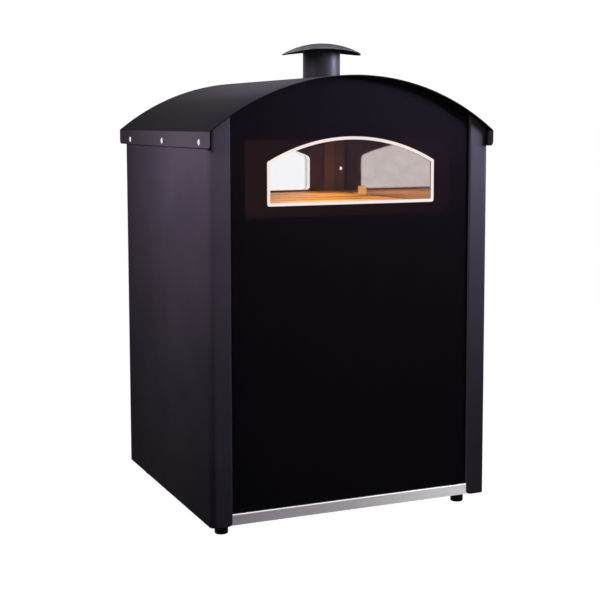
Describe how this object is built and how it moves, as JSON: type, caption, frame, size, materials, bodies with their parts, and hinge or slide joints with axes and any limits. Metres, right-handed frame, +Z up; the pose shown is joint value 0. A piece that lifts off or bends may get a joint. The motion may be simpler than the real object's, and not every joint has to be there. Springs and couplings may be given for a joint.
{
  "type": "baked potato oven",
  "caption": "Counter-top fan oven with an arched roof and chimney, a lit heated display behind a dark glass front, and rear doors and controls.",
  "frame": {"origin": "centre of the bounding box, on the surface that the feet stand on", "axes": "+Z up, -Y towards the customer (the glass front), +Y towards the operator (doors and controls), +X to the right seen from the front"},
  "size_m": [0.5084, 0.529, 0.7922],
  "materials": {
    "casing": "fine textured black powder coat",
    "roof": "fine textured black powder coat",
    "chimney": "satin black paint",
    "screws": "bright domed steel",
    "dark_glass": "polished toughened glass",
    "print": "opaque black print behind the glass",
    "light": "lit diffuser",
    "inner_black": "matt black paint",
    "brushed": "brushed stainless steel",
    "polished": "polished stainless steel",
    "galvanised": "galvanised sheet",
    "rubber": "moulded black rubber",
    "gasket": "silicone seal",
    "brass": "polished brass",
    "element": "oxidised heating rod",
    "ceramic": "glazed ceramic",
    "bulb": "clear halogen capsule",
    "rockwool": "rockwool",
    "motor": "cast motor housing",
    "aluminium": "spun aluminium",
    "wire": "chromed wire",
    "magnet": "sintered magnet",
    "door_skin": "satin black paint",
    "door_lining": "dark enamel",
    "clear_glass": "clear toughened glass",
    "handle": "black moulded phenolic",
    "knob": "black moulded nylon",
    "control_body": "moulded control body",
    "switch_black": "black nylon",
    "switch_red": "red polycarbonate",
    "lamp": "amber lens"
  },
  "bodies": {
    "casing": {"side_panel_left": "casing", "side_panel_right": "casing", "roof_cover": "roof", "roof_screws": "screws", "chimney_tube": "chimney", "chimney_cap": "chimney", "front_glass": "dark_glass", "front_mask": "print", "window_light": "light", "front_panel": "inner_black", "bottom_trim": "brushed", "base_pan": "inner_black", "feet": "rubber", "oven_shelf": "galvanised", "display_liner": "polished", "liner_screws": "brass", "hot_plate": "brushed", "plate_clips": "brass", "display_element": "element", "lamp_holders": "ceramic", "lamp_bulbs": "bulb", "display_insulation": "rockwool", "oven_liner": "polished", "oven_insulation": "rockwool", "fan_motor": "motor", "ring_element": "element", "fan_cover": "brushed", "rack_lower": "wire", "rack_middle": "wire", "rack_upper": "wire", "rack_runners": "brushed", "drip_tray": "brushed", "rear_frame": "brushed", "oven_gasket": "gasket", "hinge_brackets": "brushed", "hinge_pins": "brushed", "door_magnets": "magnet", "control_panel": "inner_black", "panel_screws": "screws", "thermostat": "control_body", "timer": "control_body", "switch_bodies": "switch_black", "indicator_lamps": "lamp", "cable_gland": "switch_black"},
    "display_door": {"display_door_outer": "door_skin", "display_door_inner": "door_lining", "display_door_glass": "clear_glass", "display_door_handle": "handle"},
    "oven_door": {"oven_door_outer": "door_skin", "oven_door_inner": "brushed", "oven_door_insulation": "rockwool", "oven_door_handle": "handle"},
    "fan": {"fan_shaft": "brushed", "fan_wheel": "aluminium"},
    "thermostat_dial": {"thermostat_spindle": "brushed", "thermostat_knob": "knob"},
    "timer_dial": {"timer_spindle": "brushed", "timer_knob": "knob"},
    "power_switch": {"power_rocker": "switch_red"},
    "light_switch": {"light_rocker": "switch_black"}
  },
  "joints": [
    {"name": "display_door_hinge", "type": "hinge", "parent": "casing", "child": "display_door", "pos_m": [0.203, 0.222, 0.57], "axis": [0, 0, -1], "range_deg": [0, 110]},
    {"name": "oven_door_hinge", "type": "hinge", "parent": "casing", "child": "oven_door", "pos_m": [0.203, 0.222, 0.306], "axis": [0, 0, -1], "range_deg": [0, 110]},
    {"name": "fan_spin", "type": "hinge", "parent": "casing", "child": "fan", "pos_m": [0, -0.1625, 0.306], "axis": [0, 1, 0], "continuous": true},
    {"name": "thermostat_turn", "type": "hinge", "parent": "casing", "child": "thermostat_dial", "pos_m": [-0.06, 0.2175, 0.066], "axis": [0, -1, 0], "range_deg": [0, 270]},
    {"name": "timer_turn", "type": "hinge", "parent": "casing", "child": "timer_dial", "pos_m": [0.03, 0.2175, 0.066], "axis": [0, -1, 0], "range_deg": [0, 300]},
    {"name": "power_switch_tilt", "type": "hinge", "parent": "casing", "child": "power_switch", "pos_m": [-0.165, 0.209, 0.066], "axis": [-1, 0, 0], "range_deg": [0, 18]},
    {"name": "light_switch_tilt", "type": "hinge", "parent": "casing", "child": "light_switch", "pos_m": [-0.125, 0.209, 0.066], "axis": [-1, 0, 0], "range_deg": [0, 18]}
  ]
}
